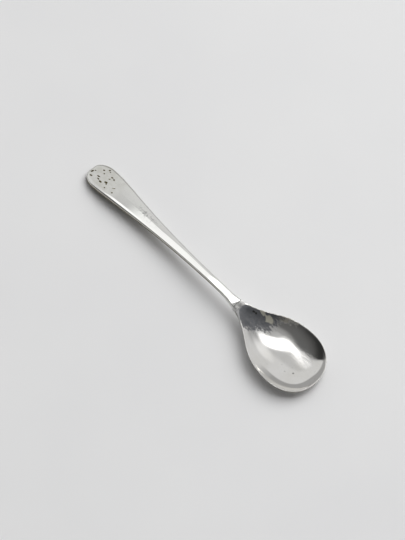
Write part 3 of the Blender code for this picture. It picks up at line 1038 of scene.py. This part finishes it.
# Azimuths over which the pale walls begin and end, and borders over which the light's level changes
WALL_LEFT = (-81, -75)
WALL_RIGHT = (43, 67)
FOOT_BORDER = (20, 24)
FOOT_LEVELS = (0.34, 0.64)
RIGHT_PART = (24, 36)
RIGHT_PART_LEVEL = 0.62
CEILING_BORDER = (54, 63)
CEILING_LEVEL = 0.52
ROOM_FOOT_BORDER = (16, 33)
ROOM_FOOT_LEVEL = 0.4
ROOM_LEVEL = 0.03

# Soft round lights: azimuth, elevation, angles of the full and the faded border, and level
WALL_LIGHTS = ((-52, 77, 3, 11, 0.5), (-44, 68, 5, 13, 0.43), (47, 46, 3, 14, 0.2))
ROOM_LIGHTS = (
    (-150, 75, 5, 42, 0.09), (163, 84, 2, 18, 0.2), (-52, 77, 3, 11, 0.5),
    (78, 76, 2, 8, 0.22), (120, 85, 1, 7, 0.15), (100, 38, 6, 25, 0.35),
)


def make_floor():
    """Plain square floor at table height."""
    half = FLOOR_HALF
    corners = [(-half, -half, 0), (half, -half, 0), (half, half, 0), (-half, half, 0)]
    data = bpy.data.meshes.new("floor")
    data.from_pydata(corners, [], [(0, 1, 2, 3)])
    data.materials.append(floor_paint())
    floor = bpy.data.objects.new("floor", data)
    bpy.context.scene.collection.objects.link(floor)


def placed(place, across, up, back):
    """The transform of a lamp or camera from its place and its three axes."""
    return Matrix.Translation(place) @ Matrix((across, up, back)).transposed().to_4x4()


def make_panel(name, place, target, size, turn, radiance):
    """Rectangular lamp at a place, facing a target, both as right, away and up from the bowl."""
    data = bpy.data.lights.new(name, "AREA")
    data.shape = "RECTANGLE"
    data.size, data.size_y = size
    data.energy = radiance * pi * size[0] * size[1]
    panel = bpy.data.objects.new(name, data)
    bowl = Vector((DEEPEST - SPOON_LENGTH / 2, 0.0, 0.0)) * MM
    back = (to_row(*place) - to_row(*target)).normalized()
    across = to_row(cos(radians(turn)), sin(radians(turn)), 0.0)
    across = (across - back * across.dot(back)).normalized()
    panel.matrix_world = placed(bowl + to_row(*place), across, back.cross(across), back)
    panel.visible_camera = False
    bpy.context.scene.collection.objects.link(panel)
    return panel


def soften_borders(panel, fade):
    """Dims a lamp towards its borders, over a share of its length or width at each of their two ends."""
    nodes = Graph(panel.data)
    parts = nodes.add("SeparateXYZ")
    nodes.fill(parts.inputs["Vector"], nodes.add("NewGeometry").outputs["Parametric"])
    level = 1.0
    for axis, (first, last) in zip("XY", fade):
        for start, end in ((0.0, first), (1.0, 1.0 - last)):
            level = nodes.times(nodes.ramp(parts.outputs[axis], start, end, kind="SMOOTHSTEP"), level)
    nodes.fill(nodes.tree.nodes["Emission"].inputs["Strength"], level)


def make_lamps():
    """Long panel over the bowl, which the silver mirrors, and a large soft fill, which it doesn't."""
    panel = make_panel("top_panel", PANEL_PLACE, PANEL_TARGET, PANEL_SIZE, PANEL_TURN, PANEL_RADIANCE)
    soften_borders(panel, PANEL_FADE)
    fill = make_panel("soft_fill", FILL_PLACE, FILL_TARGET, FILL_SIZE, FILL_TURN, FILL_RADIANCE)
    fill.visible_glossy = False


def sky_direction(azimuth, elevation):
    """Direction in the spoon's frame: azimuth from straight away to the right, both in degrees."""
    turn, lift = radians(azimuth), radians(elevation)
    return to_row(sin(turn) * cos(lift), cos(turn) * cos(lift), sin(lift))


class Sky(Graph):
    """The studio round the spoon, with short calls for its light."""

    def __init__(self):
        world = bpy.data.worlds.new("studio")
        bpy.context.scene.world = world
        super().__init__(world)
        self.view = self.add("TexCoord").outputs["Generated"]

    def along(self, direction):
        """How far each view direction goes along another."""
        return self.vector("DOT_PRODUCT", self.view, direction)["Value"]

    def blend(self, value, low, high, start, end):
        return self.ramp(value, low, high, start, end, kind="SMOOTHSTEP")

    def sweep(self, turn, border, start, end):
        """Changes from start to end between two azimuths."""
        return self.blend(turn, radians(border[0]), radians(border[1]), start, end)

    def rise(self, height, border, start, end):
        """Changes from start to end between two elevations."""
        return self.blend(height, sin(radians(border[0])), sin(radians(border[1])), start, end)

    def glow(self, azimuth, elevation, inner, outer, strength):
        """Soft round light in the sky, given by the angles of its full and its faded border."""
        closeness = self.along(sky_direction(azimuth, elevation))
        return self.blend(closeness, cos(radians(outer)), cos(radians(inner)), 0.0, strength)


def light_world():
    """Pale walls on the far side, and a dim room on the camera's side."""
    sky = Sky()
    to_right, to_far = sky.along(sky_direction(90, 0)), sky.along(sky_direction(0, 0))
    turn = sky.math("ARCTAN2", to_right, to_far)
    height = sky.along((0.0, 0.0, 1.0))
    walls = sky.times(sky.sweep(turn, WALL_LEFT, 0.0, 1.0), sky.sweep(turn, WALL_RIGHT, 1.0, 0.0))
    wall = sky.rise(sky.along(sky_direction(*FOOT_UP)), FOOT_BORDER, *FOOT_LEVELS)
    wall = sky.sweep(turn, RIGHT_PART, wall, RIGHT_PART_LEVEL)
    wall = sky.rise(height, CEILING_BORDER, wall, CEILING_LEVEL)
    for light in WALL_LIGHTS:
        wall = sky.plus(wall, sky.glow(*light))
    room = ROOM_LEVEL
    for light in ROOM_LIGHTS:
        room = sky.plus(sky.glow(*light), room)
    room = sky.rise(height, ROOM_FOOT_BORDER, ROOM_FOOT_LEVEL, room)
    level = sky.blend(walls, 0.0, 1.0, room, wall)
    sky.fill(sky.tree.nodes["Background"].inputs["Color"], level)


def make_camera():
    """Camera of the photograph, placed from the handle tip's place as it sees it."""
    data = bpy.data.cameras.new("camera")
    data.sensor_width = SENSOR
    data.lens = SENSOR * FOCAL_PIXELS / PICTURE_HEIGHT
    data.clip_start = NEAREST_SEEN
    camera = bpy.data.objects.new("camera", data)
    tip = to_row(TIP_PLACE.x, TIP_PLACE.y, 0.0)
    place = Vector((-SPOON_LENGTH / 2, 0.0, CAMERA_HEIGHT)) - tip
    back = to_row(0.0, -sin(CAMERA_TILT), cos(CAMERA_TILT))
    level = to_row(1.0, 0.0, 0.0)
    down = to_row(0.0, -cos(CAMERA_TILT), -sin(CAMERA_TILT))
    right = level * cos(CAMERA_ROLL) + down * sin(CAMERA_ROLL)
    up = level * sin(CAMERA_ROLL) - down * cos(CAMERA_ROLL)
    camera.matrix_world = placed(place * MM, right, up, back)
    bpy.context.scene.collection.objects.link(camera)
    bpy.context.scene.camera = camera


def add_piece(piece, node, material):
    """Gives a piece its material and its place in the model."""
    piece.data.materials.append(material)
    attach(piece, "root")
    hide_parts(node)


make_camera()
make_floor()
light_world()
make_lamps()
add_piece(make_bowl(), "bowl", bowl_silver())
add_piece(make_handle(), "handle", handle_silver())
add_piece(make_solder(), "solder_seam", dull_solder())
bpy.context.scene.view_settings.view_transform = "Standard"
